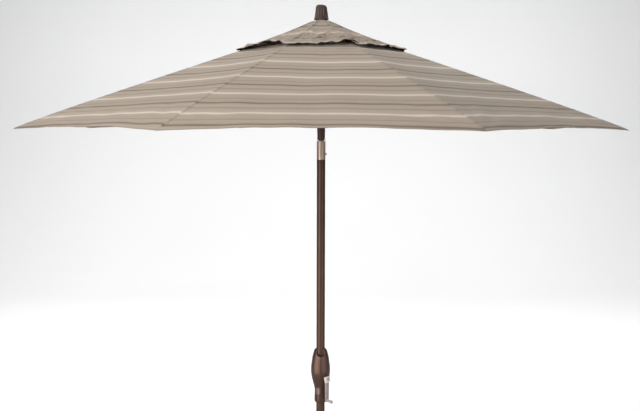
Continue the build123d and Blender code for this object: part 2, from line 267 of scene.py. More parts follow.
def cloth_material(name, tint=(1, 1, 1), stripes=True, painted_underside_shade=False, stitch=False, painted_light_near_vent=False):
    """woven awning cloth; UVs are metres on the flat cloth: u across the panel, v from the apex to the hem"""
    m, nt, b = new_mat(name)
    uv = uvco(nt)
    sep = nt.nodes.new("ShaderNodeSeparateXYZ")
    nt.links.new(uv, sep.inputs[0])
    u, v = sep.outputs[0], sep.outputs[1]
    wob = noise_tex(nt, mapping(nt, uv, (3, 3, 1)), 1.0, 3, 0.5)
    if stripes:
        vv = math_node(nt, "ADD", v, math_node(nt, "MULTIPLY", math_node(nt, "SUBTRACT", wob, 0.5), 0.004))
        ph = math_node(nt, "FRACT", math_node(nt, "DIVIDE", math_node(nt, "SUBTRACT", vv, V_CREAM - 10 * PERIOD), PERIOD))
        col = ramp(nt, ph, [(p, tuple(a * b_ for a, b_ in zip(c, tint))) for p, c in STRIPES])
    else:
        c0 = tuple(a * b_ for a, b_ in zip(lin(178, 164, 149), tint))
        col = ramp(nt, wob, [(0.3, scaled(c0, 0.94)), (0.7, scaled(c0, 1.05))])
    # yarn slubs, drift between bolts, and the weave itself
    slub = noise_tex(nt, mapping(nt, uv, (26, 900, 1)), 1.0, 3, 0.6)
    slub2 = noise_tex(nt, mapping(nt, uv, (900, 26, 1)), 1.0, 3, 0.6)
    big = noise_tex(nt, mapping(nt, uv, (2.2, 2.2, 1)), 1.0, 4, 0.55)
    k = ramp(nt, math_node(nt, "MULTIPLY", math_node(nt, "ADD", slub, slub2), 0.5), [(0.35, (0.88, 0.88, 0.88)), (0.65, (1.1, 1.1, 1.1))])
    col = mix_col(nt, 0.55, col, k, "MULTIPLY")
    kb = ramp(nt, big, [(0.3, (0.95, 0.94, 0.935)), (0.7, (1.03, 1.03, 1.035))])
    col = mix_col(nt, 1.0, col, kb, "MULTIPLY")
    wu = math_node(nt, "SINE", math_node(nt, "MULTIPLY", u, 2 * math.pi / 0.0011))
    wv = math_node(nt, "SINE", math_node(nt, "MULTIPLY", v, 2 * math.pi / 0.0011))
    weave = math_node(nt, "ADD", math_node(nt, "MULTIPLY", math_node(nt, "MULTIPLY", wu, wv), 0.5), 0.5)
    wc = ramp(nt, weave, [(0.2, (0.93, 0.93, 0.93)), (0.8, (1.04, 1.04, 1.04))])
    col = mix_col(nt, 0.5, col, wc, "MULTIPLY")
    # painted light: the cloth just outside the canopy's inner edge, under the vent cap's overhang, is brightened up to
    # 1.42 times to lift the shade the cap casts there
    if painted_light_near_vent:
        f = nt.nodes.new("ShaderNodeMapRange")
        f.inputs["From Min"].default_value = 0.335
        f.inputs["From Max"].default_value = 0.375
        f.inputs["To Min"].default_value = 1.0
        f.inputs["To Max"].default_value = 0.0
        nt.links.new(v, f.inputs["Value"])
        col = mix_col(nt, f.outputs[0], col, (1.42, 1.40, 1.38), "MULTIPLY")
    # painted shade: the underside copy of the cloth is darkened to about 0.8 for the shade under the canopy
    if painted_underside_shade:
        col = mix_col(nt, 1.0, col, (0.82, 0.8, 0.78), "MULTIPLY")
    stitches = None
    if stitch:
        # two rows of lock stitch along the folded hem
        se = nt.nodes.new("ShaderNodeSeparateXYZ")
        nt.links.new(uvco(nt, "edge"), se.inputs[0])
        dash = math_node(nt, "LESS_THAN", math_node(nt, "FRACT", math_node(nt, "DIVIDE", math_node(nt, "ADD", se.outputs[0], 2.0), 0.0034)), 0.72)
        rows = None
        for d0 in (0.0035, 0.0178):
            near = math_node(nt, "LESS_THAN", math_node(nt, "ABSOLUTE", math_node(nt, "SUBTRACT", se.outputs[1], d0)), 0.00045)
            rows = near if rows is None else math_node(nt, "MAXIMUM", rows, near)
        stitches = math_node(nt, "MULTIPLY", dash, rows)
        col = mix_col(nt, math_node(nt, "MULTIPLY", stitches, 0.75), col, lin(140, 126, 112))
    nt.links.new(col, b.inputs["Base Color"])
    rr = nt.nodes.new("ShaderNodeMapRange")
    rr.inputs["To Min"].default_value = 0.78
    rr.inputs["To Max"].default_value = 0.95
    nt.links.new(slub, rr.inputs["Value"])
    nt.links.new(rr.outputs[0], b.inputs["Roughness"])
    b.inputs["Sheen Weight"].default_value = 0.12
    b.inputs["Sheen Roughness"].default_value = 0.5
    b.inputs["Specular IOR Level"].default_value = 0.25
    crease = noise_tex(nt, mapping(nt, uv, (9, 22, 1)), 1.0, 4, 0.6, 0.6)
    n1 = bump(nt, b, crease, 0.35, 0.003)
    n2 = bump(nt, b, math_node(nt, "ADD", weave, math_node(nt, "MULTIPLY", slub, 0.8)), 0.35, 0.0003, also=n1)
    return m


MAT = {}
MAT["pole"] = painted("bronze_powder_coat", lin(96, 76, 65), rough=0.34, metallic=0.55, spec=0.2, edge=(0.25, 0.25, 0.25))
MAT["rib"] = painted("rib_powder_coat", lin(72, 55, 46), rough=0.42, metallic=0.3)
MAT["housing"] = painted("bronze_gloss_paint", lin(92, 72, 64), rough=0.30, metallic=0.55, spec=0.25, edge=(0.25, 0.25, 0.25))
MAT["champagne"] = brushed("champagne_sleeve", lin(201, 181, 166), rough=0.43)
MAT["steel"] = brushed("plated_steel", lin(176, 174, 170), rough=0.32)
MAT["resin"] = moulded("dark_resin", lin(66, 49, 45), rough=0.40)
MAT["knuckle"] = moulded("knuckle_resin", lin(78, 58, 54), rough=0.36)
MAT["finial"] = moulded("finial_resin", lin(74, 56, 50), rough=0.45)
MAT["grey"] = moulded("grey_resin", lin(178, 166, 161), rough=0.42)
MAT["pale"] = moulded("pale_resin", lin(253, 243, 238), rough=0.38)
MAT["knob"] = moulded("knob_resin", lin(196, 194, 188), rough=0.45)
MAT["cord"] = moulded("braided_cord", lin(60, 52, 48), rough=0.85, tex=900)
MAT["cloth"] = cloth_material("striped_cloth", stitch=True, painted_light_near_vent=True)
# the same cloth for the canopy's underside, with painted shade
MAT["cloth_under_painted_shade"] = cloth_material("striped_cloth_under_painted_shade", painted_underside_shade=True, stitch=True)
MAT["cloth_cap"] = cloth_material("vent_cloth", tint=(0.84, 0.83, 0.82), stitch=True)
MAT["seam_cloth"] = cloth_material("seam_cloth", tint=(0.985, 0.98, 0.975))
MAT["seam_cap"] = cloth_material("seam_cap_cloth", tint=(0.84, 0.83, 0.82))
# painted shade: a dark sheet under the vent cap that stands in for the shade seen through the vent gap
MAT["cap_underside_painted_shade"] = moulded("vent_cap_painted_shade", lin(46, 34, 28), rough=0.85, tex=800)
MAT["webbing"] = moulded("dark_webbing", lin(52, 42, 36), rough=0.85, tex=900)
MAT["badge"] = brushed("blank_badge_metal", lin(134, 112, 108), rough=0.42)
MAT["tape"] = cloth_material("seam_tape", stripes=False, tint=(0.97, 0.95, 0.93))
MAT["crown"] = cloth_material("crown_patch", stripes=False, tint=(1.08, 1.03, 1.01))
MAT["pocket"] = cloth_material("pocket_cloth", stripes=False, tint=(0.85, 0.83, 0.8))
MAT["thread"] = moulded("thread", lin(150, 136, 120), rough=0.8, tex=700)


# ------------------------------------------------------------------ CAD nodes that stay
def dress(node, mat):
    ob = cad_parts[node]
    ob.data.materials.clear()
    ob.data.materials.append(MAT[mat])


for n in ("lower_pole", "main_pole", "upper_pole", "pole_joiner"):
    dress(n, "pole")
for n in ("housing_front", "housing_rear"):
    dress(n, "housing")
dress("tilt_sleeve", "champagne")
for n in ("housing_screws", "tilt_pin", "button_spring", "snap_button", "snap_spring", "hub_pins", "runner_pins"):
    dress(n, "steel")
for n in ("tilt_tongue", "tilt_head"):
    dress(n, "knuckle")
for n in ("foot_plug", "top_hub", "runner", "crank_spool", "cord_pulley"):
    dress(n, "resin")
dress("crank_arm", "grey")
dress("crank_knob", "knob")
dress("tilt_button", "grey")
dress("finial", "finial")
dress("crown_cap", "crown")
for n in ("lift_cord_lower", "lift_cord_upper"):
    dress(n, "cord")
for k in range(1, 9):
    dress(f"rib_{k}", "rib")
    dress(f"strut_{k}", "rib")


# ------------------------------------------------------------------ mesh helpers
def mesh_object(name, verts, faces, mats, uvs=None, smooth=True, mat_index=None, normals=None, edge=None):
    me = bpy.data.meshes.new(name)
    me.from_pydata([tuple(map(float, v)) for v in verts], [], faces)
    for m in mats:
        me.materials.append(MAT[m])
    if uvs is not None:
        layer = me.uv_layers.new(name="cloth")
        for i, l in enumerate(me.loops):
            layer.data[i].uv = uvs[l.vertex_index]
    if edge is not None:
        layer = me.uv_layers.new(name="edge")
        for i, l in enumerate(me.loops):
            layer.data[i].uv = edge[l.vertex_index]
    if mat_index is not None:
        me.polygons.foreach_set("material_index", mat_index)
    me.polygons.foreach_set("use_smooth", [smooth] * len(me.polygons))
    me.update()
    if normals is not None:
        me.normals_split_custom_set_from_vertices([tuple(map(float, n)) for n in normals])
    ob = bpy.data.objects.new(name, me)
    bpy.context.collection.objects.link(ob)
    return ob


def sheet_shell(grid, uv, nrm, thick):
    """closed thin sheet from a grid of points (a, b, 3); returns verts, faces, uvs, normals"""
    a, b, _ = grid.shape
    top = grid + nrm * (thick / 2)
    bot = grid - nrm * (thick / 2)
    V = np.concatenate([top.reshape(-1, 3), bot.reshape(-1, 3)])
    UV = np.concatenate([uv.reshape(-1, 2), uv.reshape(-1, 2)])
    NR = np.concatenate([nrm.reshape(-1, 3), -nrm.reshape(-1, 3)])
    F = []
    o = a * b
    idx = lambda i, j: i * b + j
    for i in range(a - 1):
        for j in range(b - 1):
            F.append((idx(i, j), idx(i + 1, j), idx(i + 1, j + 1), idx(i, j + 1)))
            F.append((o + idx(i, j), o + idx(i, j + 1), o + idx(i + 1, j + 1), o + idx(i + 1, j)))
    ring = [idx(0, j) for j in range(b)] + [idx(i, b - 1) for i in range(1, a)] + \
           [idx(a - 1, j) for j in range(b - 2, -1, -1)] + [idx(i, 0) for i in range(a - 2, 0, -1)]
    for q in range(len(ring)):
        p, r = ring[q], ring[(q + 1) % len(ring)]
        F.append((p, o + p, o + r, r))
    f = F[0]
    g = np.cross(V[f[1]] - V[f[0]], V[f[2]] - V[f[0]])
    if np.dot(g, nrm[0, 0]) < 0:
        F = [q[::-1] for q in F]
    return V, F, UV, NR


def grid_normals(g):
    du = np.gradient(g, axis=0)
    dv = np.gradient(g, axis=1)
    n = np.cross(du, dv)
    n /= np.linalg.norm(n, axis=2, keepdims=True) + 1e-12
    if n[..., 2].mean() < 0:
        n = -n
    return n


def turn(P, ang):
    c, s = math.cos(ang), math.sin(ang)
    Q = P.copy()
    Q[..., 0] = P[..., 0] * c - P[..., 1] * s
    Q[..., 1] = P[..., 0] * s + P[..., 1] * c
    return Q


# ------------------------------------------------------------------ canopy
PANEL = []
for k in range(8):
    PANEL.append({"skew": float(rng.uniform(-0.014, 0.014)), "shift": float(rng.uniform(-0.004, 0.004)), "ph": rng.uniform(0, 6.28, 8),
                  "cp": rng.uniform(0, 6.28, 8), "cs": float(rng.uniform(-0.01, 0.01))})
# the front panel (between ribs 6 and 7) and its neighbours
PANEL[5]["skew"], PANEL[5]["shift"] = -0.0108, 0.0
PANEL[4]["skew"], PANEL[4]["shift"] = 0.0216, 0.0035
PANEL[6]["skew"], PANEL[6]["shift"] = -0.0070, -0.0063
SAG = 0.006
TAUT = {4: 0.2, 5: 1.0, 6: 0.9}            # how taut the cloth is next to the vent
HEM_CURVE = 0.0172
V_LEN = math.hypot(R * C8, RISE)
T_IN = 0.247


def rib_lift(te):
    """how far the cloth rides above a straight line over the rib, with a droop over the rib's tip"""
    q = np.clip(te, 0, 1) ** 1.2 * ((np.clip(1 - te, 0, 1) + 0.004) ** 0.35 - 0.004 ** 0.35)
    return 0.0075 * q / 0.33


def panel_point(k, t, w, extra=0.0):
    """point of panel k (0 = between ribs 1 and 2); t 0 apex .. 1 hem, w -1 (rib k) .. 1 (rib k+1)"""
    te = t * (1 - HEM_CURVE * (1 - w ** 2) * np.clip((t - 0.35) / 0.65, 0, 1) ** 1.5)
    x = te * R * C8
    y = w * te * R * S8
    z = Z_APEX - RISE * te + rib_lift(te)
    cw = (1 - w ** 2)
    z = z - SAG * cw * np.sin(np.pi * np.clip(te, 0, 1)) ** 1.2 * (1 - TAUT.get(k, 0.5) * (1 - smooth01((te - 0.28) / 0.22)))
    ph = PANEL[k]["ph"]
    # soft tension folds that run from the rib tips and the crown
    a = np.sin(7.0 * w + 5.2 * te + ph[0]) * np.sin(3.1 * te + ph[1])
    b = np.sin(13.0 * (w * te) - 9.0 * te + ph[2]) * np.cos(5.0 * w + ph[3])
    c = np.sin(31.0 * te + 6.0 * w + ph[4]) * np.sin(9.0 * w * te + ph[5])
    z = z + cw * (0.0016 * a + 0.0009 * b + 0.0004 * c) * np.clip(te * 1.3, 0, 1)
    # pull lines into the corner at the rib tips
    for s in (-1, 1):
        d = np.sqrt(((w - s) * te * R * S8) ** 2 + ((1 - te) * R) ** 2)
        ang = np.arctan2((1 - te) * R, np.abs(w - s) * te * R * S8 + 1e-6)
        z = z + 0.0026 * np.sin(ang * 11 + ph[6] + s) * np.exp(-((d - 0.16) / 0.13) ** 2) * cw
    # puckers along the sewn rib seams
    du = te * R * S8 * (1 - np.abs(w))
    z = z + 0.0007 * np.sin(2 * np.pi * t * V_LEN / 0.031 + ph[1] * 3 + 1.7 * np.sin(9 * t)) * (np.exp(-du / 0.016) - np.exp(-du / 0.003))
    # hem ripples where the cloth hangs free
    z = z + (0.0012 * np.sin(9 * w + ph[7]) + 0.0007 * np.sin(23 * w + ph[3])) * cw * np.clip((te - 0.9) / 0.1, 0, 1) ** 2
    P = np.stack([x, y, z + extra], axis=-1)
    return turn(P, math.radians(22.5 + 45 * k + 22.5))


def panel_uv(k, t, w):
    u = w * t * R * S8
    v = t * V_LEN + PANEL[k]["skew"] * w * np.clip(t, 0.3, 1) + PANEL[k]["shift"]
    return np.stack([u, v], axis=-1)


def tag(rib, side):
    return f"{rib}_{'left' if side > 0 else 'right'}", f"panel{rib}{'l' if side > 0 else 'r'}"


def panel_of(rib, side):
    return (rib - 1) if side > 0 else (rib - 2) % 8


def surface(fn, t, w):
    """points and smooth normals of a surface given as a function of t and w"""
    e = 1e-3
    P = fn(t, w)
    n = np.cross(fn(t + e, w) - fn(t - e, w), fn(t, w + e) - fn(t, w - e))
    n /= np.linalg.norm(n, axis=2, keepdims=True) + 1e-15
    if n[..., 2].mean() < 0:
        n = -n
    return P, n


def smooth01(x):
    x = np.clip(x, 0, 1)
    return x * x * (3 - 2 * x)


def hang(ob, rib, side, node=None):
    """the cloth rides its half panel's body"""
    _, body = tag(rib, side)
    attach(ob, body)
    if node:
        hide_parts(node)
    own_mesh(ob)


def hang_cap(ob, rib):
    """the vent cap lies above the fold lines, so it rides its rib"""
    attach(ob, f"rib{rib}")
    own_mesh(ob)


def canopy_half(rib, side):
    """rib 1..8; side +1 is the panel that follows the rib, -1 the one before it"""
    k = panel_of(rib, side)
    na, nb = ((120, 32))
    edge = np.array([0, 0.0012, 0.004, 0.010, 0.016, 0.0195, 0.0205, 0.0215, 0.026]) / V_LEN
    inner = np.array([0, 0.0012, 0.004, 0.011, 0.0145, 0.0155, 0.0165, 0.021]) / V_LEN
    t1 = np.concatenate([T_IN + inner, np.linspace(T_IN + 0.023, 1 - 0.028, na)[0:], 1 - edge[::-1]])
    ww = 1 - np.linspace(0, 1, nb) ** 1.45
    t = t1[:, None] * np.ones((1, nb))
    w = (-side) * ww[None, :] * np.ones((len(t1), 1))
    P, n = surface(lambda a, b: panel_point(k, a, b), t, w)
    d = (1 - t) * V_LEN
    di = (t - T_IN) * V_LEN
    th = 0.0008 + 0.0019 * (1 - smooth01((d - 0.0195) / 0.0015)) + 0.0019 * (1 - smooth01((di - 0.0145) / 0.0015))
    th = th - 0.0012 * (1 - smooth01(d / 0.004)) - 0.0012 * (1 - smooth01(di / 0.004))
    V, F, UV, NR = sheet_shell(P, panel_uv(k, t, w), n, th[..., None])
    ed = np.stack([w * t * R * S8, np.minimum(d, di + 0.002)], axis=-1).reshape(-1, 2)
    # the underside faces take the cloth darkened with painted shade
    ob = mesh_object(f"cloth_{tag(rib, side)[0]}", V, F, ["cloth", "cloth_under_painted_shade"], UV, normals=NR, edge=np.concatenate([ed, ed]),
                     mat_index=under_index(F, len(V) // 2))
    return ob


def under_index(F, o):
    """1 for faces of the underside"""
    return [1 if min(f) >= o else 0 for f in F]


# measured lift of the vent cap's free hem above a straight hem, across what the front shows (place across the front in m per m of depth, m)
LIFT = {
    4: ([-.1090, -.1019, -.0943, -.0892, -.0796, -.0692, -.0593, -.0537, -.0485], [.004, .006, .0106, .013, .0197, .027, .0196, .0217, .0066]),
    5: ([-.0485, -.0361, -.0168, -.0054, .0087, .0125, .0185, .0302, .0418, .0494], [.006, .008, .0093, .009, .013, .0186, .013, .025, .023, .0065]),
    6: ([.0472, .0554, .0604, .0671, .0730, .0773, .0860, .0883, .0942, .1038], [.004, .006, .014, .0104, .009, .011, .016, .0084, .0097, .0055]),
}
R_CAP = 0.400


def cap_lift(k, w):
    if k in LIFT:
        P = turn(np.stack([np.full_like(w, R_CAP * C8), w * R_CAP * S8, w * 0], axis=-1), math.radians(45 + 45 * k))
        s = P[..., 0] / (3.548 + P[..., 1])
        return np.interp(s, LIFT[k][0], LIFT[k][1])
    c = PANEL[k]["cp"]
    q = 0.5 + 0.5 * np.sin(5.0 * w + c[0]) * np.sin(2.3 * w + c[1]) + 0.28 * np.sin(13 * w + c[2])
    return 0.004 + 0.014 * np.clip(q, 0, 1.3) * (1 - w ** 4)


# creases of the slack vent cap: ends as (w, tc), height (m), half width (m); the rest of the cap's panels get their own
CREASE = {
    5: [((-0.95, 0.80), (-0.50, 0.52), -0.0065, 0.010), ((-1.0, 0.62), (-0.62, 0.42), 0.0060, 0.010), ((-0.55, 0.50), (-0.08, 0.70), 0.0065, 0.009),
        ((-0.10, 0.70), (0.30, 0.46), 0.0055, 0.009), ((0.28, 0.55), (0.95, 0.72), 0.0075, 0.008), ((0.25, 0.66), (0.70, 0.76), -0.0055, 0.008),
        ((-0.35, 0.86), (0.20, 0.80), 0.0045, 0.010), ((0.45, 0.44), (0.80, 0.36), 0.0045, 0.010), ((0.55, 0.90), (0.86, 0.84), -0.0045, 0.009)],
    4: [((0.95, 0.72), (0.35, 0.92), 0.0060, 0.010), ((-0.2, 0.55), (0.70, 0.66), 0.0055, 0.010), ((-0.70, 0.90), (0.05, 0.78), 0.0050, 0.011),
        ((0.05, 0.90), (0.40, 0.72), -0.0055, 0.009), ((0.40, 0.42), (0.95, 0.50), 0.0045, 0.010)],
    6: [((-0.95, 0.66), (-0.25, 0.78), 0.0060, 0.010), ((-0.70, 0.50), (0.10, 0.60), 0.0050, 0.011), ((-0.20, 0.88), (0.65, 0.80), 0.0055, 0.010),
        ((-0.55, 0.88), (-0.20, 0.70), -0.0055, 0.009), ((0.10, 0.62), (0.75, 0.72), 0.0045, 0.010)],
}
_rc = np.random.default_rng(23)
for _k in (0, 1, 2, 3, 7):
    CREASE[_k] = []
    for _i in range(7):
        w0, t0 = float(_rc.uniform(-0.85, 0.6)), float(_rc.uniform(0.45, 0.9))
        w1, t1_ = w0 + float(_rc.uniform(0.3, 0.75)), t0 + float(_rc.uniform(-0.22, 0.18))
        CREASE[_k].append(((w0, t0), (min(w1, 0.97), min(max(t1_, 0.38), 0.93)), float(_rc.choice([0.006, 0.005, -0.0055, 0.0045])), float(_rc.uniform(0.008, 0.012))))


def crease_height(k, tc, w):
    u, v = w * tc * R_CAP * S8, tc * 0.418
    z = np.zeros_like(u)
    for (w0, t0), (w1, t1_), amp, wid in CREASE[k]:
        a = np.array([w0 * t0 * R_CAP * S8, t0 * 0.418])
        b = np.array([w1 * t1_ * R_CAP * S8, t1_ * 0.418])
        L = np.linalg.norm(b - a)
        d = (b - a) / L
        pu, pv = u - a[0], v - a[1]
        al = np.clip((pu * d[0] + pv * d[1]) / L, -0.25, 1.25)
        bow = 0.10 * L * np.sin(np.pi * np.clip(al, 0, 1)) * (1 if amp > 0 else -1)
        ds = pv * d[0] - pu * d[1] - bow
        taper = smooth01((al + 0.22) / 0.35) * smooth01((1.22 - al) / 0.35)
        # steeper on the side away from the crown
        ww = wid * np.where(ds > 0, 0.7, 1.25)
        z = z + amp * taper * (1 / (1 + (ds / ww) ** 2)) ** 1.3
    return z


def cap_point(k, tc, w):
    """point of the vent cap; tc 0 apex .. 1 hem"""
    r = tc * R_CAP
    c = PANEL[k]["cp"]
    cw = 1 - np.abs(w) ** 3
    q = R_CAP - r
    z = 2.3150 + 0.33 * q + 0.211 * q ** 2
    z = z + cap_lift(k, w) * np.clip((tc - 0.30) / 0.70, 0, 1) ** 2.2
    # slack creases that cross between the crown and the hem
    f3 = np.sin(15 * w * tc + 9 * tc + c[5]) * np.sin(8 * tc - 5 * w + c[6])
    f4 = np.sin(31 * w * tc - 13 * tc + c[3])
    env = smooth01((tc - 0.16) / 0.3) * cw
    z = z + env * (1.45 * crease_height(k, tc, w) + 0.0022 * f3 + 0.0008 * f4)
    z = z - 0.005 * cw * np.sin(np.pi * np.clip(tc, 0, 1))
    P = np.stack([r * C8, w * r * S8, z], axis=-1)
    return turn(P, math.radians(22.5 + 45 * k + 22.5))


def cap_uv(k, tc, w):
    u = w * tc * R_CAP * S8
    v = tc * 0.418 - 0.205 + V_CREAM + (PANEL[k]["cs"] if k not in (4, 5, 6) else 0.0)
    return np.stack([u, v], axis=-1)


def cap_half(rib, side):
    k = panel_of(rib, side)
    na, nb = ((72, 34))
    edge = np.array([0, 0.001, 0.003, 0.008, 0.011, 0.012, 0.013, 0.016]) / 0.418
    t1 = np.concatenate([np.linspace(0.095, 1 - 0.018 / 0.418, na), 1 - edge[::-1]])
    ww = 1 - np.linspace(0, 1, nb) ** 1.2
    t = t1[:, None] * np.ones((1, nb))
    w = (-side) * ww[None, :] * np.ones((len(t1), 1))
    P, n = surface(lambda a, b: cap_point(k, a, b), t, w)
    d = (1 - t) * 0.418
    th = 0.0008 + 0.0016 * (1 - smooth01((d - 0.0115) / 0.0015)) - 0.001 * (1 - smooth01(d / 0.003))
    V, F, UV, NR = sheet_shell(P, cap_uv(k, t, w), n, th[..., None])
    ed = np.stack([w * t * R_CAP * S8, d + 0.006], axis=-1).reshape(-1, 2)
    # the cap's underside faces take the dark painted-shade material
    ob = mesh_object(f"vent_cap_{tag(rib, side)[0]}", V, F, ["cloth_cap", "cap_underside_painted_shade"], UV, normals=NR, edge=np.concatenate([ed, ed]),
                     mat_index=under_index(F, len(V) // 2))
    return ob


for rib in range(1, 9):
    for side in (1, -1):
        ob = canopy_half(rib, side)
        hang(ob, rib, side, f"canopy_{tag(rib, side)[0]}")
        ob = cap_half(rib, side)
        hang_cap(ob, rib)


# ------------------------------------------------------------------ seams, pockets and ties, on the ribs
def rib_line(t):
    """middle of the cloth over a rib at azimuth 0"""
    return np.stack([t * R, t * 0, Z_APEX - RISE * t + rib_lift(t)], axis=-1)


def strip_on_line(name, line, slope, half_w, thick, mats, cols=7, drop=0.134, round_w=0.0025, up=0.0):
    """a tape laid over the ridge of a seam at azimuth 0: line (n, 3)"""
    s = np.linspace(-half_w, half_w, cols)
    n = len(line)
    G = np.zeros((n, cols, 3))
    for j, y in enumerate(s):
        G[:, j] = line + np.array([0, y, -drop * (math.hypot(y, round_w) - round_w) + up])
    nn = grid_normals(G)
    L = np.concatenate([[0], np.cumsum(np.linalg.norm(np.diff(line, axis=0), axis=1))])
    uv = np.stack([np.ones((n, 1)) * s[None, :], L[:, None] * np.ones((1, cols))], axis=-1)
    return G, uv, nn, float(L[-1])


def seam_tape(rib):
    a = rib_az(rib)
    t = np.linspace(0.264, 0.9985, 150)
    line = rib_line(t)
    line[:, 2] += 0.0003 * np.sin(2 * np.pi * t * 1.374 / 0.029 + rib)
    G, uv, nn, L = strip_on_line("seam", line, 0, 0.0062, 0.0012, None, up=0.0006)
    # the stripes run on over the seam
    va = panel_uv(rib - 1, t, -np.ones_like(t))[:, 1]
    vb = panel_uv((rib - 2) % 8, t, np.ones_like(t))[:, 1]
    mixw = np.linspace(1, 0, G.shape[1])[None, :]
    uv = np.stack([uv[..., 0], va[:, None] * (1 - mixw) + vb[:, None] * mixw], axis=-1)
    th = np.full(G.shape[:2], 0.0008)
    th[:, 0] = th[:, -1] = 0.0003
    V, F, UV, NR = sheet_shell(turn(G, a), uv, turn(nn, a), th[..., None])
    ob = mesh_object(f"rib_seam_{rib}", V, F, ["seam_cloth"], UV, normals=NR)
    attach(ob, f"rib{rib}")


def rib_az(rib):
    return math.radians(22.5 + 45 * (rib - 1))


# rib frame at azimuth 0: H is the pivot, E runs out along the rib, U is up from it
SLOPE = math.atan2(RISE, R)
E0 = np.array([math.cos(SLOPE), 0, -math.sin(SLOPE)])
U0 = np.array([math.sin(SLOPE), 0, math.cos(SLOPE)])
H0 = np.array([0.038, 0, Z_APEX - 0.038 * math.tan(SLOPE) - 0.0125 / math.cos(SLOPE)])


def on_rib(s, y, h):
    s, y, h = np.asarray(s, float), np.asarray(y, float), np.asarray(h, float)
    return H0 + s[..., None] * E0 + h[..., None] * U0 + y[..., None] * np.array([0, 1.0, 0])


def band_section(w2, h0, h1, r, n=9):
    """closed rounded-rectangle section, counter-clockwise, as (y, h)"""
    pts = []
    for cy, ch, a0 in ((w2 - r, h1 - r, 0), (-w2 + r, h1 - r, 90), (-w2 + r, h0 + r, 180), (w2 - r, h0 + r, 270)):
        for q in np.linspace(0, 90, n):
            a = math.radians(a0 + q)
            pts.append((cy + r * math.cos(a), ch + r * math.sin(a)))
    return pts


def tube_cloth(name, rib, secs, body, thick=0.0008, mats=("pocket",), close_end=False):
    """cloth sewn round the rib: sections [(s, [(y, h)...])] that share a point count"""
    a = rib_az(rib)
    G = np.array([[on_rib(s, y, h) for y, h in sec] for s, sec in secs])
    G = np.concatenate([G, G[:, :1]], axis=1)
    cen = G[:, :-1].mean(axis=1, keepdims=True)
    n = G - cen
    n /= np.linalg.norm(n, axis=2, keepdims=True) + 1e-12
    gn = np.cross(np.gradient(G, axis=0), np.gradient(G, axis=1))
    gn /= np.linalg.norm(gn, axis=2, keepdims=True) + 1e-12
    if (gn * n).sum(axis=2).mean() < 0:
        gn = -gn
    gn[:, -1] = gn[:, 0] = (gn[:, 0] + gn[:, -1]) / 2
    m, q, _ = G.shape
    per = np.concatenate([[0], np.cumsum(np.linalg.norm(np.diff(G[0], axis=0), axis=1))])
    uv = np.stack([np.ones((m, 1)) * per[None, :], np.array([s for s, _ in secs])[:, None] * np.ones((1, q))], axis=-1)
    V, F, UV, NR = sheet_shell(turn(G, a), uv, turn(gn, a), thick)
    f = F[0]
    ob = mesh_object(name, V, F, list(mats), UV, normals=NR)
    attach(ob, body)
    return ob


def pocket(rib):
    """pocket under the corner of the canopy that takes the rib's tapered tip"""
    secs = []
    for s, w2, h0, h1, r in ((1.2500, 0.0100, -0.0080, 0.0128, 0.003), (1.2515, 0.0096, -0.0076, 0.0126, 0.003), (1.258, 0.0092, -0.0058, 0.0124, 0.003),
                             (1.272, 0.0090, -0.0020, 0.0124, 0.003), (1.288, 0.0088, 0.0014, 0.0124, 0.003), (1.300, 0.0084, 0.0040, 0.0122, 0.003),
                             (1.309, 0.0076, 0.0058, 0.0120, 0.0026), (1.3140, 0.0062, 0.0070, 0.0112, 0.0018), (1.3152, 0.0030, 0.0080, 0.0100, 0.0008)):
        secs.append((s, band_section(w2, h0, h1, r)))
    tube_cloth(f"rib_pocket_{rib}", rib, secs, f"rib{rib}")


def tie(rib, i, s0):
    """loop of tape that ties the canopy to its rib"""
    secs = [(s0 + d, band_section(0.0083 + e, -0.0112 - e, 0.0128, 0.0032)) for d, e in ((0, 0), (0.0015, 0.0003), (0.006, 0.0004), (0.0105, 0.0003), (0.012, 0))]
    tube_cloth(f"rib_tie_{rib}_{i}", rib, secs, f"rib{rib}", thick=0.001, mats=("tape",))


def vent_strap(rib):
    """webbing along the rib across the open vent, from the canopy's inner edge up to the crown"""
    a = rib_az(rib)
    t = np.linspace(0.050, 0.262, 36)
    line = rib_line(t)
    line[:, 2] -= 0.0012 + 0.002 * np.sin(np.pi * (t - 0.05) / 0.212)
    G, uv, nn, L = strip_on_line("strap", line, 0, 0.0095, 0.0014, None, cols=5, drop=0.02)
    V, F, UV, NR = sheet_shell(turn(G, a), uv, turn(nn, a), 0.0012)
    ob = mesh_object(f"vent_strap_{rib}", V, F, ["webbing"], UV, normals=NR)
    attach(ob, f"rib{rib}")


def cap_seam(rib):
    """sewn seam of the vent cap over a rib"""
    a = rib_az(rib)
    tc = np.linspace(0.13, 0.998, 60)
    k = panel_of(rib, 1)
    P = cap_point(k, tc, -np.ones_like(tc))
    line = turn(P, -a)
    line[:, 1] = 0
    G, uv, nn, L = strip_on_line("capseam", line, 0, 0.0051, 0.001, None, up=0.0006, drop=0.16)
    uv[..., 1] = cap_uv(k, tc, -np.ones_like(tc))[:, 1][:, None]
    th = np.full(G.shape[:2], 0.0008)
    th[:, 0] = th[:, -1] = 0.0003
    V, F, UV, NR = sheet_shell(turn(G, a), uv, turn(nn, a), th[..., None])
    ob = mesh_object(f"cap_seam_{rib}", V, F, ["seam_cap"], UV, normals=NR)
    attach(ob, f"rib{rib}")


for rib in range(1, 9):
    seam_tape(rib)
    cap_seam(rib)
    pocket(rib)
    tie(rib, 1, 0.700)
    tie(rib, 2, 1.010)
    vent_strap(rib)


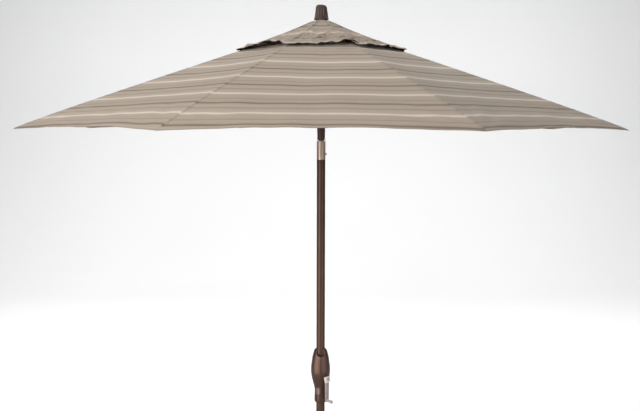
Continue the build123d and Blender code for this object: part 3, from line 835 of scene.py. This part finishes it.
# ------------------------------------------------------------------ hard parts that replace plain CAD shapes
def lathe_like(fn, zs, n_th, th0=0.0, th1=2 * math.pi):
    """grid of points from radius fn(theta, z)"""
    full = abs(th1 - th0 - 2 * math.pi) < 1e-6
    th = np.linspace(th0, th1, n_th + 1)
    T, Z = np.meshgrid(th, zs)
    rr = fn(T, Z)
    return np.stack([rr * np.cos(T), rr * np.sin(T), Z], axis=-1), full


def grid_faces(a, b, off=0, flip=False):
    F = []
    for i in range(a - 1):
        for j in range(b - 1):
            f = (off + i * b + j, off + i * b + j + 1, off + (i + 1) * b + j + 1, off + (i + 1) * b + j)
            F.append(f[::-1] if flip else f)
    return F


def closed_grid(name, G, mats, wrap=True, smooth=True):
    """solid from rings of points (rings, around, 3); ends capped"""
    a, b, _ = G.shape
    V = G.reshape(-1, 3)
    F = []
    for i in range(a - 1):
        for j in range(b):
            jj = (j + 1) % b
            F.append((i * b + j, i * b + jj, (i + 1) * b + jj, (i + 1) * b + j))
    F.append(tuple(range(b))[::-1])
    F.append(tuple((a - 1) * b + j for j in range(b)))
    ob = mesh_object(name, V, F, mats, smooth=smooth)
    bm = bmesh.new()
    bm.from_mesh(ob.data)
    bmesh.ops.recalc_face_normals(bm, faces=bm.faces)
    bm.to_mesh(ob.data)
    bm.free()
    return ob


def sharp_by_angle(ob, deg=35):
    bm = bmesh.new()
    bm.from_mesh(ob.data)
    for e in bm.edges:
        if len(e.link_faces) == 2 and e.calc_face_angle(0) > math.radians(deg):
            e.smooth = False
    bm.to_mesh(ob.data)
    bm.free()


def make_finial():
    prof = [(0.0, 2.4705), (0.0300, 2.4705), (0.0322, 2.4712), (0.0331, 2.4728), (0.0330, 2.4760), (0.0318, 2.4800), (0.0306, 2.4860), (0.0294, 2.4940),
            (0.0283, 2.5020), (0.0274, 2.5090), (0.0266, 2.5150), (0.0261, 2.5190), (0.0258, 2.5225), (0.0253, 2.5262), (0.0243, 2.5298), (0.0225, 2.5330),
            (0.0198, 2.5356), (0.0163, 2.5374), (0.0120, 2.5386), (0.0072, 2.5393), (0.0025, 2.5396)]
    # denser profile
    pr = np.array([p[0] for p in prof])
    pz = np.array([p[1] for p in prof])
    L = np.concatenate([[0], np.cumsum(np.hypot(np.diff(pr), np.diff(pz)))])
    q = np.linspace(0, L[-1], 150)
    rr, zz = np.interp(q, L, pr), np.interp(q, L, pz)
    n = 288
    th = np.linspace(0, 2 * math.pi, n, endpoint=False)
    mask = smooth01((zz - 2.478) / 0.006) * (1 - smooth01((zz - 2.5285) / 0.006))
    wave = np.abs(np.cos(6 * th)) ** 0.7
    R_ = rr[:, None] * (1 - 0.115 * mask[:, None] * (1 - wave[None, :]))
    G = np.stack([R_ * np.cos(th)[None, :], R_ * np.sin(th)[None, :], zz[:, None] * np.ones((1, n))], axis=-1)
    # the crest leans to one side
    lean = smooth01((zz - 2.506) / 0.02)[:, None]
    G[..., 2] -= lean * 0.085 * G[..., 0]
    G[..., 2] = G[..., 2] - 0.0035
    ob = closed_grid("finial_cap", G, ["finial"])
    ob2 = closed_grid("finial_stud", np.stack([np.stack([0.004 * np.cos(th[::8]), 0.004 * np.sin(th[::8]), np.full(n // 8, z)], axis=-1) for z in (2.431, 2.4675)]), ["steel"])
    sharp_by_angle(ob2)
    for o in (ob, ob2):
        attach(o, "upper")
        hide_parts("finial")


make_finial()



def knuckle_collar(side):
    """thin lip on the sleeve's end, at the side only, beside the rounded foot of the tilt head"""
    th = (0 if side > 0 else math.pi) + np.radians(np.linspace(-23, 23, 48))
    rings = [(0.01856, 1.9199), (0.01856, 1.9262), (0.01862, 1.9272), (0.01880, 1.9276), (0.01898, 1.9270), (0.01905, 1.9258), (0.01905, 1.9199)]
    V = [(r * math.cos(a), r * math.sin(a), z) for a in th for r, z in rings]
    n, m = len(th), len(rings)
    F = [(i * m + j, i * m + (j + 1) % m, (i + 1) * m + (j + 1) % m, (i + 1) * m + j) for i in range(n - 1) for j in range(m)]
    F += [tuple(range(m))[::-1], tuple((n - 1) * m + j for j in range(m))]
    ob = mesh_object(f"knuckle_lip_{'right' if side > 0 else 'left'}", V, F, ["knuckle"])
    bm = bmesh.new()
    bm.from_mesh(ob.data)
    bmesh.ops.recalc_face_normals(bm, faces=bm.faces)
    bm.to_mesh(ob.data)
    bm.free()
    sharp_by_angle(ob, 50)
    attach(ob, "base")


knuckle_collar(1)
knuckle_collar(-1)

HOUSING = [(21.5, 743), (25.2, 745.2), (26.4, 748), (27.0, 752), (27.2, 760), (26.9, 768), (26.3, 776), (25.8, 786), (26.2, 800),
           (27.6, 810), (29.5, 819), (32.6, 831), (35.2, 842), (37.7, 852), (39.6, 862), (41.0, 872), (41.6, 882), (41.7, 890), (41.3, 900),
           (40.4, 911), (39.2, 920), (37.5, 933), (35.4, 946), (33.2, 956), (30.6, 966), (28.6, 974), (26.6, 979), (23.4, 982), (21.2, 982.6)]
HR = np.array([p[0] for p in HOUSING]) / 1000
HZ = np.array([p[1] for p in HOUSING]) / 1000


def facet(th, n, phase, soft):
    """1 at a facet's middle edge, smaller on its flats; soft rounds the corners"""
    a = 2 * math.pi / n
    q = (th - phase) % a - a / 2
    flat = math.cos(a / 2) / np.cos(np.abs(q) - 0.0)
    return (1 - soft) * flat + soft


def housing_radius(T, Z):
    r = np.interp(Z, HZ, HR)
    up = smooth01((Z - 0.800) / 0.03) * (1 - smooth01((Z - 0.972) / 0.01))
    # eight soft flats, with flats facing front and rear
    f = facet(T, 8, -math.pi / 2, 0.22)
    r = r * (1 + up * (f - 1) * 0.95 + up * 0.040)
    # recess in front of and behind the pole at the top
    for az in (-90, 90):
        d = np.abs((np.degrees(T) - az + 180) % 360 - 180)
        wdt = 30 + 12 * smooth01((Z - 0.955) / 0.025)
        cut = smooth01((wdt - d) / 7.0) * smooth01((Z - 0.9525 - 0.006 * (d / 30) ** 2) / 0.0035)
        r = r * (1 - cut) + np.minimum(r, 0.0204) * cut
    # parting groove
    g = np.exp(-((np.abs(np.sin(T)) * r) / 0.0006) ** 2)
    return r - 0.0006 * g


def housing_half(name, th0, th1, node):
    nz, nt = ((190, 110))
    zs = np.concatenate([np.linspace(0.743, 0.7475, 8), np.linspace(0.748, 0.9495, nz), np.linspace(0.950, 0.962, 22), np.linspace(0.9625, 0.9825, 26)])
    G, _ = lathe_like(housing_radius, zs, nt, th0, th1)
    r_in = np.interp(zs, [0.743, 0.772, 0.7725, 0.812, 0.8125, 0.83, 0.90, 0.93, 0.944, 0.9445, 0.983],
                     [0.01885, 0.01885, 0.0177, 0.0177, 0.024, 0.028, 0.0335, 0.031, 0.029, 0.0191, 0.0191])
    rr = np.hypot(G[..., 0], G[..., 1])
    ri = np.minimum(r_in[:, None], rr - 0.0010)
    In = np.stack([G[..., 0] / rr * ri, G[..., 1] / rr * ri, G[..., 2]], axis=-1)
    a, b, _ = G.shape
    V = np.concatenate([G.reshape(-1, 3), In.reshape(-1, 3)])
    o = a * b
    F = grid_faces(a, b) + grid_faces(a, b, o, True)
    ring = [j for j in range(b)] + [i * b + b - 1 for i in range(1, a)] + [(a - 1) * b + j for j in range(b - 2, -1, -1)] + [i * b for i in range(a - 2, 0, -1)]
    for q in range(len(ring)):
        p, r = ring[q], ring[(q + 1) % len(ring)]
        F.append((p, o + p, o + r, r))
    ob = mesh_object(name, V, F, ["housing"])
    bm = bmesh.new()
    bm.from_mesh(ob.data)
    bmesh.ops.recalc_face_normals(bm, faces=bm.faces)
    for e in bm.edges:
        if len(e.link_faces) == 2 and e.calc_face_angle(0) > math.radians(50):
            e.smooth = False
    bm.to_mesh(ob.data)
    bm.free()
    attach(ob, "base")
    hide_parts(node)
    return ob


housing_half("housing_shell_front", -math.pi + 0.0006, -0.0006, "housing_front")
housing_half("housing_shell_rear", 0.0006, math.pi - 0.0006, "housing_rear")

CRX = np.array([math.cos(CRANK_AZ), math.sin(CRANK_AZ), 0.0])
CRY = np.array([-math.sin(CRANK_AZ), math.cos(CRANK_AZ), 0.0])


def crank_point(x, y, z):
    return CRX * x + CRY * y + np.array([0, 0, Z_CRANK + z])


def prism(name, pts, x0, x1, bevel, mats, body, node=None, segs=3):
    """bevelled plate in the crank's frame from a (y, z) outline"""
    n = len(pts)
    V = [crank_point(x0, y, z) for y, z in pts] + [crank_point(x1, y, z) for y, z in pts]
    F = [tuple(range(n))[::-1], tuple(range(n, 2 * n))] + [(i, (i + 1) % n, n + (i + 1) % n, n + i) for i in range(n)]
    ob = mesh_object(name, V, F, mats)
    bm = bmesh.new()
    bm.from_mesh(ob.data)
    bmesh.ops.recalc_face_normals(bm, faces=bm.faces)
    edges = [e for e in bm.edges if e.calc_face_angle(0) > math.radians(40)]
    bmesh.ops.bevel(bm, geom=edges, offset=bevel, offset_type="OFFSET", segments=segs, profile=0.5, affect="EDGES", clamp_overlap=True)
    bm.to_mesh(ob.data)
    bm.free()
    me = ob.data
    me.polygons.foreach_set("use_smooth", [True] * len(me.polygons))
    sharp_by_angle(ob, 38)
    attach(ob, body)
    if node:
        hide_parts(node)
    return ob


def round_pts(pts, r, n=5):
    """round the corners of a closed outline"""
    out = []
    m = len(pts)
    for i in range(m):
        p0, p1, p2 = (np.array(pts[(i + d) % m], float) for d in (-1, 0, 1))
        a, b = p0 - p1, p2 - p1
        la, lb = np.linalg.norm(a), np.linalg.norm(b)
        a, b = a / la, b / lb
        ang = math.acos(np.clip(a @ b, -1, 1))
        d = min(r / math.tan(ang / 2), la * 0.45, lb * 0.45)
        q0, q2 = p1 + a * d, p1 + b * d
        for s in np.linspace(0, 1, n):
            out.append(tuple((1 - s) ** 2 * q0 + 2 * s * (1 - s) * p1 + s ** 2 * q2))
    return out


def crank_lathe(name, prof, mats, body, z0=0.0, node=None, n=64, ridges=None):
    """round part about the crank shaft's direction at height z0: prof (x, r)"""
    th = np.linspace(0, 2 * math.pi, n, endpoint=False)
    G = []
    for i, (x, r) in enumerate(prof):
        rr = r * (1 - (ridges or 0) * 0.5 * (1 + np.cos(12 * th))) if ridges and 0.2 < i / len(prof) < 0.8 else r + 0 * th
        G.append([crank_point(x, q * math.cos(t), z0 + q * math.sin(t)) for t, q in zip(th, rr)])
    ob = closed_grid(name, np.array(G), mats)
    sharp_by_angle(ob, 50)
    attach(ob, body)
    if node:
        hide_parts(node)
    return ob


ARM_LEN = 0.094
prism("crank_hub_cover", round_pts([(-0.0157, 0.0100), (0.0157, 0.0100), (0.0106, -0.0168), (-0.0106, -0.0168)], 0.003), 0.0433, 0.0532, 0.0014, ["pale"], "crank", "crank_arm")
prism("crank_lever", round_pts([(-0.0102, -0.0162), (0.0102, -0.0162), (0.0090, -ARM_LEN), (0.0062, -ARM_LEN - 0.0066), (0, -ARM_LEN - 0.0090),
                                (-0.0062, -ARM_LEN - 0.0066), (-0.0090, -ARM_LEN)], 0.0018, 3), 0.0440, 0.0500, 0.0011, ["grey"], "crank", "crank_arm")
prism("crank_lever_rib", round_pts([(-0.0058, -0.022), (0.0058, -0.022), (0.0048, -0.080), (-0.0048, -0.080)], 0.003), 0.0497, 0.0514, 0.0006, ["grey"], "crank", "crank_arm")
crank_lathe("crank_knob_pin", [(0.0440, 0.0030), (0.0818, 0.0030), (0.0820, 0.0046), (0.0832, 0.0050), (0.0838, 0.0044), (0.0840, 0.0030)], ["steel"], "crank", -ARM_LEN, "crank_arm", 40)
crank_lathe("crank_bolt", [(0.0530, 0.0060), (0.0545, 0.0061), (0.0556, 0.0056), (0.0562, 0.0044), (0.0564, 0.0020)], ["steel"], "crank", 0.0, "crank_arm", 40)
kp = []
for x, r in ((0.0512, 0.0048), (0.0516, 0.0060), (0.0530, 0.0067), (0.0560, 0.0064), (0.0600, 0.0061), (0.0640, 0.0061), (0.0690, 0.0064), (0.0740, 0.0068),
             (0.0780, 0.0069), (0.0802, 0.0066), (0.0814, 0.0058), (0.0817, 0.0045)):
    kp.append((x, r))
kx = np.linspace(0.0512, 0.0817, 40)
kr = np.interp(kx, [p[0] for p in kp], [p[1] for p in kp])
crank_lathe("crank_knob_grip", list(zip(kx, kr)), ["knob"], "knob", -ARM_LEN, "crank_knob", 72, ridges=0.06)


def badge():
    """blank metal plate on the housing's neck"""
    G = []
    for z in np.linspace(0.784, 0.812, 20):
        e = min(1.0, min(z - 0.784, 0.812 - z) / 0.003)
        hw = math.radians(23) * (0.86 + 0.14 * math.sqrt(max(0.0, 1 - (1 - e) ** 2)))
        th = math.radians(-116) + np.linspace(-hw, hw, 24)
        Z = np.full_like(th, z)
        r = housing_radius(th, Z) + 0.0002
        G.append(np.stack([r * np.cos(th), r * np.sin(th), Z], axis=-1))
    G = np.array(G)
    n = G.copy()
    n[..., 2] = 0
    n /= np.linalg.norm(n, axis=2, keepdims=True)
    V, F, UV, NR = sheet_shell(G + n * 0.0004, np.zeros(G.shape[:2] + (2,)), n, 0.0009)
    ob = mesh_object("blank_badge", V, F, ["badge"], normals=NR)
    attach(ob, "base")


badge()


# ------------------------------------------------------------------ floor, backdrop, light
def stage():
    me = bpy.data.meshes.new("studio")
    V, F = [], []
    ys = [-15.0, 5.5] + [5.5 + 3.0 * math.sin(a) for a in np.linspace(0.08, math.pi / 2, 18)] + [8.5]
    zs = [0, 0] + [3.0 - 3.0 * math.cos(a) for a in np.linspace(0.08, math.pi / 2, 18)] + [9.0]
    for y, z in zip(ys, zs):
        V += [(-15, y, z), (15, y, z)]
    for i in range(len(ys) - 1):
        F.append((2 * i, 2 * i + 1, 2 * i + 3, 2 * i + 2))
    me.from_pydata(V, [], F)
    me.polygons.foreach_set("use_smooth", [True] * len(F))
    ob = bpy.data.objects.new("studio", me)
    bpy.context.collection.objects.link(ob)
    m, nt, b = new_mat("studio_paper")
    co = objco(nt)
    sep = nt.nodes.new("ShaderNodeSeparateXYZ")
    nt.links.new(co, sep.inputs[0])
    h = math_node(nt, "DIVIDE", sep.outputs[2], 5.0)
    n = noise_tex(nt, co, 0.6, 2, 0.4)
    # paper colour darkened with height: painted shade for the light falling off up the backdrop
    c = ramp(nt, h, PAPER_AND_PAINTED_FALLOFF)
    fine = ramp(nt, n, [(0.3, (0.985, 0.985, 0.985)), (0.7, (1, 1, 1))])
    nt.links.new(mix_col(nt, 1.0, c, fine, "MULTIPLY"), b.inputs["Base Color"])
    b.inputs["Roughness"].default_value = 0.9
    b.inputs["Specular IOR Level"].default_value = 0.1
    me.materials.append(m)
    return ob


# pale paper that darkens with height: painted shade for the light falling off up the backdrop
PAPER_AND_PAINTED_FALLOFF = [(0.0, (0.9, 0.9, 0.9)), (0.2, (0.86, 0.865, 0.87)), (0.45, (0.80, 0.805, 0.81)), (0.8, (0.74, 0.745, 0.75))]
stage()


def area_light(name, loc, target, size, power, col=(1, 1, 1), sy=None):
    l = bpy.data.lights.new(name, "AREA")
    l.shape = "RECTANGLE"
    l.size = size
    l.size_y = sy or size
    l.energy = power
    l.color = col
    ob = bpy.data.objects.new(name, l)
    bpy.context.collection.objects.link(ob)
    ob.location = loc
    ob.rotation_euler = (Vector(target) - Vector(loc)).to_track_quat("-Z", "Y").to_euler()
    return ob


def softbox(name, azimuth, elev, dist, size, power, col=(1, 1, 1), sy=None, at=(0, 0, 2.0)):
    """a light seen from the canopy at azimuth degrees right of the front and elev degrees up"""
    a, e = math.radians(azimuth), math.radians(elev)
    loc = (at[0] + dist * math.sin(a) * math.cos(e), at[1] - dist * math.cos(a) * math.cos(e), at[2] + dist * math.sin(e))
    return area_light(name, loc, at, size, power, col, sy)


softbox("key", -33, 14, 5.2, 1.5, 179, (1.0, 0.978, 0.948), sy=2.6)
softbox("fill", 30, 12, 5.2, 1.1, 36, (1.0, 0.99, 0.98), sy=2.4)
# two narrow strips that only draw the highlights on the metal
for nm, az, pw in (("strip_left", -46, 15.5), ("strip_right", 43, 7.0)):
    softbox(nm, az, -10, 2.3, 0.30, pw, (1.0, 0.985, 0.965), sy=1.5, at=(0, 0, 1.25)).visible_diffuse = False
area_light("top", (0, 0.5, 6.2), (0, 0, 1.5), 4.0, 18)
area_light("backdrop_left", (-3.6, 2.2, 4.6), (-1.2, 7.6, 1.4), 3.0, 200, (1.0, 0.992, 0.985), sy=1.2)
area_light("backdrop_right", (3.6, 2.2, 4.6), (1.2, 7.6, 1.4), 3.0, 200, (1.0, 0.992, 0.985), sy=1.2)
area_light("floor_wash", (0, 1.2, 5.4), (0, 4.6, 0.0), 5.0, 94, (1, 1, 1), sy=1.5)
w = bpy.data.worlds.new("studio_world")
w.use_nodes = True
w.node_tree.nodes["Background"].inputs[0].default_value = (0.93, 0.95, 1.0, 1)
w.node_tree.nodes["Background"].inputs[1].default_value = 0.16
bpy.context.scene.world = w
bpy.context.scene.view_settings.view_transform = "Standard"
